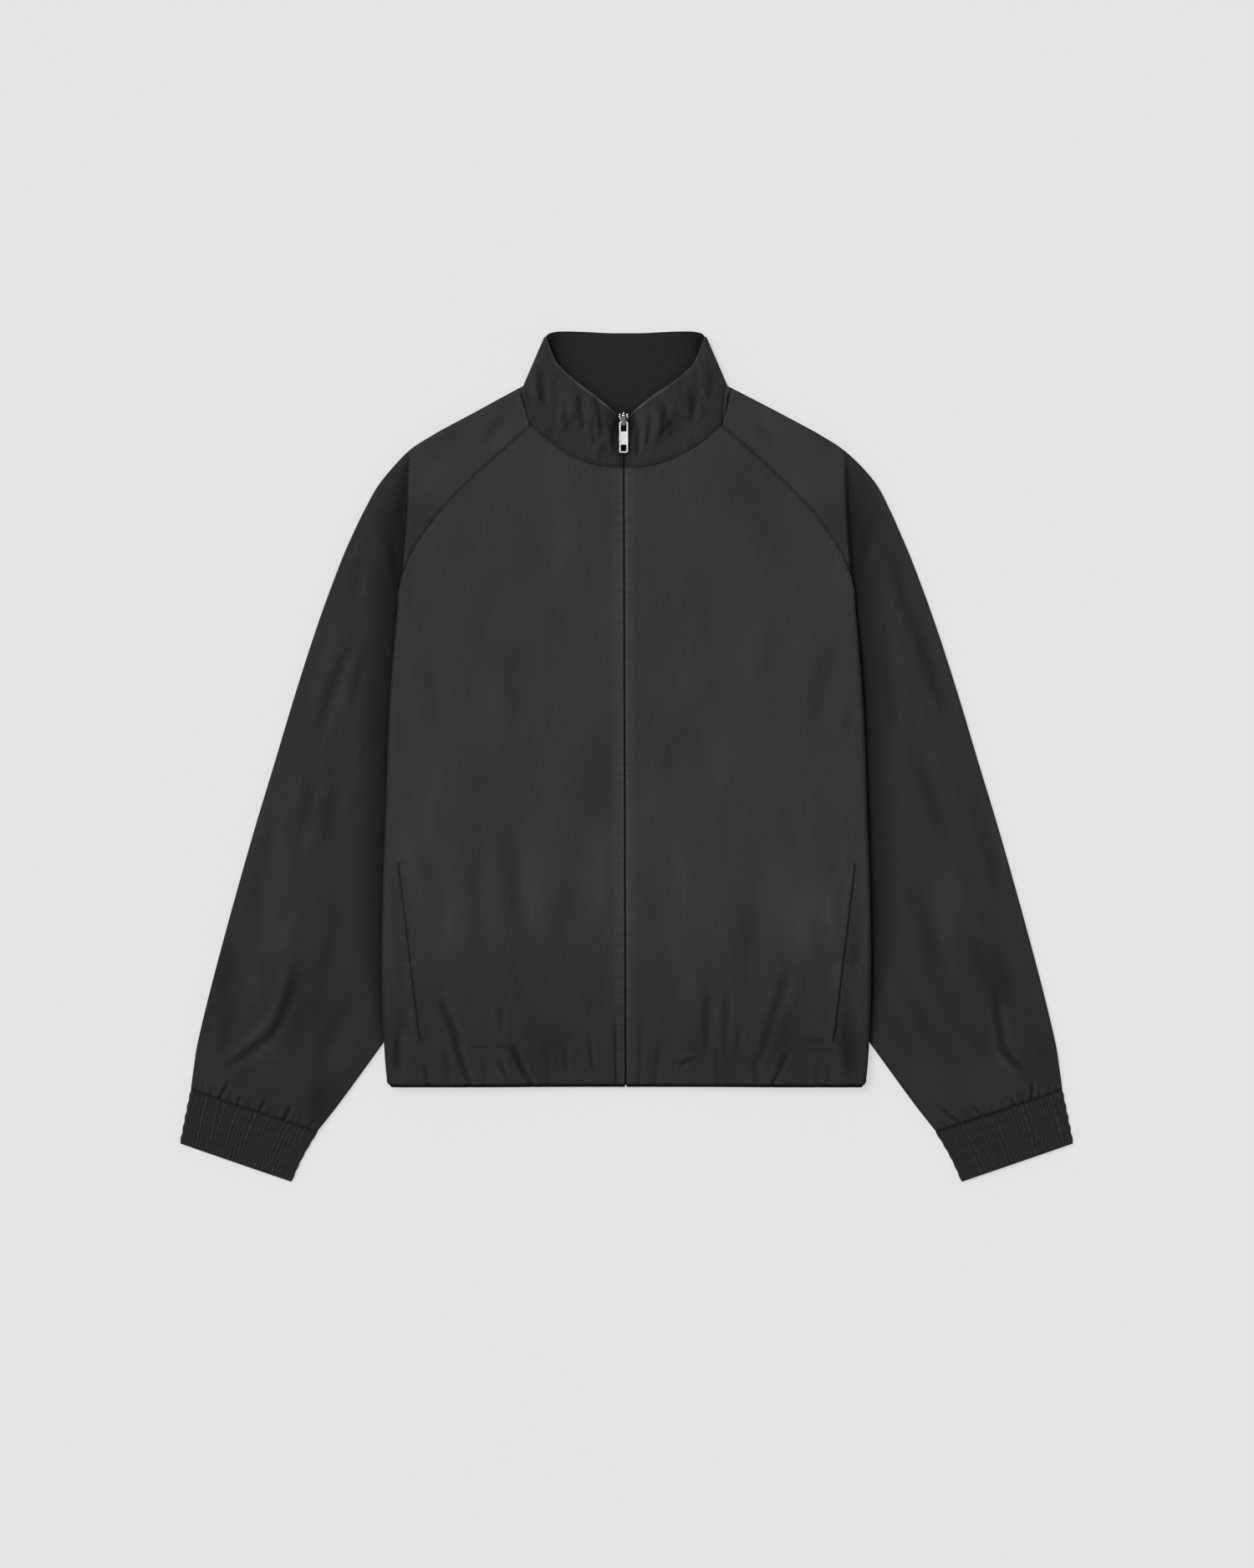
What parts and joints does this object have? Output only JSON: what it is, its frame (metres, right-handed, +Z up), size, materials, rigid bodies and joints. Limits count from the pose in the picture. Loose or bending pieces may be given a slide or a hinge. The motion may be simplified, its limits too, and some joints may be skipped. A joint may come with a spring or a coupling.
{
  "type": "track jacket",
  "caption": "Track jacket laid flat, with raglan sleeves beside the body, ribbed cuffs, slanted pockets and a zipped stand collar.",
  "frame": {"origin": "middle of the jacket's outline, on the surface it lies on", "axes": "+X to the wearer's left, +Y from hem to collar, +Z up from the surface"},
  "size_m": [0.835, 0.7942, 0.0141],
  "materials": {
    "cloth": "matte crisp woven polyester with a fine crinkle",
    "rib_knit": "matte rib knit",
    "zip_tape": "woven tape with a closed coil chain",
    "zip_metal": "satin silver"
  },
  "bodies": {
    "jacket": {"back": "cloth", "front_left": "cloth", "front_right": "cloth", "sleeve_left": "cloth", "sleeve_right": "cloth", "cuff_left": "rib_knit", "cuff_right": "rib_knit", "collar": "cloth", "pocket_welt_left": "cloth", "pocket_welt_right": "cloth", "zip_tape": "zip_tape", "zip_slider": "zip_metal"},
    "pull_tab": {"zip_pull": "zip_metal"}
  },
  "joints": [
    {"name": "pull_tab_lift", "type": "hinge", "parent": "jacket", "child": "pull_tab", "pos_m": [-0.00267, 0.3117, 0.0084], "axis": [-1, 0, 0], "range_deg": [0, 160]}
  ]
}
